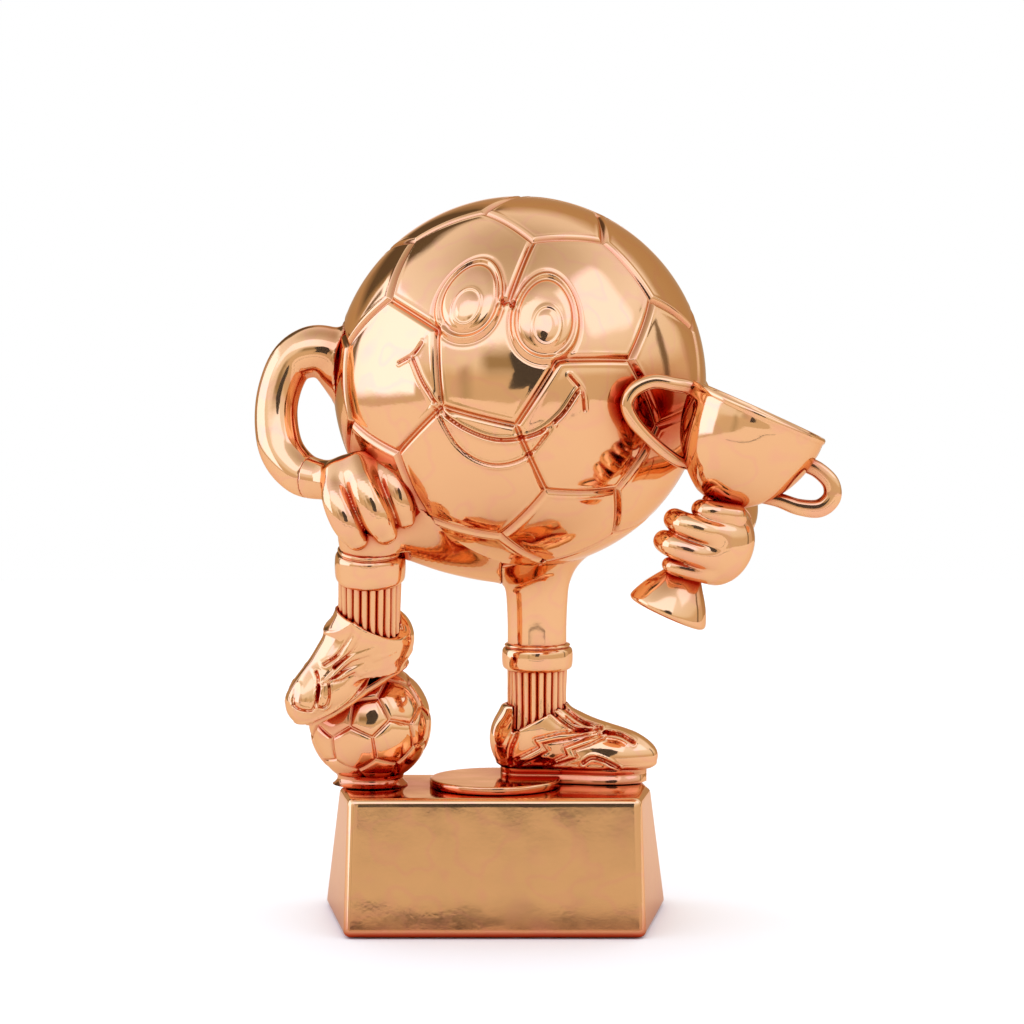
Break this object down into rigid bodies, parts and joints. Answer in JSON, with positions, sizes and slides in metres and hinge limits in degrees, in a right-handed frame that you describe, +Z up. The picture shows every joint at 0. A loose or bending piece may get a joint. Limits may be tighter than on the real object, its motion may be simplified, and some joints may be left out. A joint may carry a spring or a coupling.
{
  "type": "figure trophy",
  "caption": "Copper-plated figure trophy: a smiling football-shaped figure on a tapered block base, boot resting on a small ball, hand on knee, holding a handled cup.",
  "frame": {"origin": "middle of the felt under the base, on the surface that the trophy stands on", "axes": "+Z up, -Y towards the front, where the face and the blank front of the base look, +X to the viewer's right, where the cup is"},
  "size_m": [0.1319, 0.0937, 0.1649],
  "materials": {
    "copper_plate": "cast resin, mirror-bright copper electroplate",
    "zinc_steel": "zinc plated",
    "felt": "self-adhesive felt"
  },
  "bodies": {
    "root": {"base_block": "copper_plate", "centre_disc": "copper_plate", "standing_boot_sole": "copper_plate", "standing_boot": "copper_plate", "standing_sock": "copper_plate", "standing_sock_cuff": "copper_plate", "standing_leg": "copper_plate", "small_ball": "copper_plate", "raised_boot_sole": "copper_plate", "raised_boot": "copper_plate", "raised_sock": "copper_plate", "raised_sock_cuff": "copper_plate", "raised_leg": "copper_plate", "ball_front_shell": "copper_plate", "ball_rear_shell": "copper_plate", "left_arm": "copper_plate", "left_hand": "copper_plate", "right_arm": "copper_plate", "right_fist": "copper_plate", "cup_bowl": "copper_plate", "cup_stem": "copper_plate", "cup_handle_left": "copper_plate", "cup_handle_right": "copper_plate", "standing_leg_rod": "zinc_steel", "standing_rod_washer": "zinc_steel", "standing_rod_nut": "zinc_steel", "body_rod_washer": "zinc_steel", "body_rod_nut": "zinc_steel", "ball_screw": "zinc_steel", "ball_screw_washer": "zinc_steel", "boot_pin": "zinc_steel", "raised_leg_pin": "zinc_steel", "left_arm_pin": "zinc_steel", "right_arm_pin": "zinc_steel", "felt_pad": "felt"}
  },
  "joints": []
}
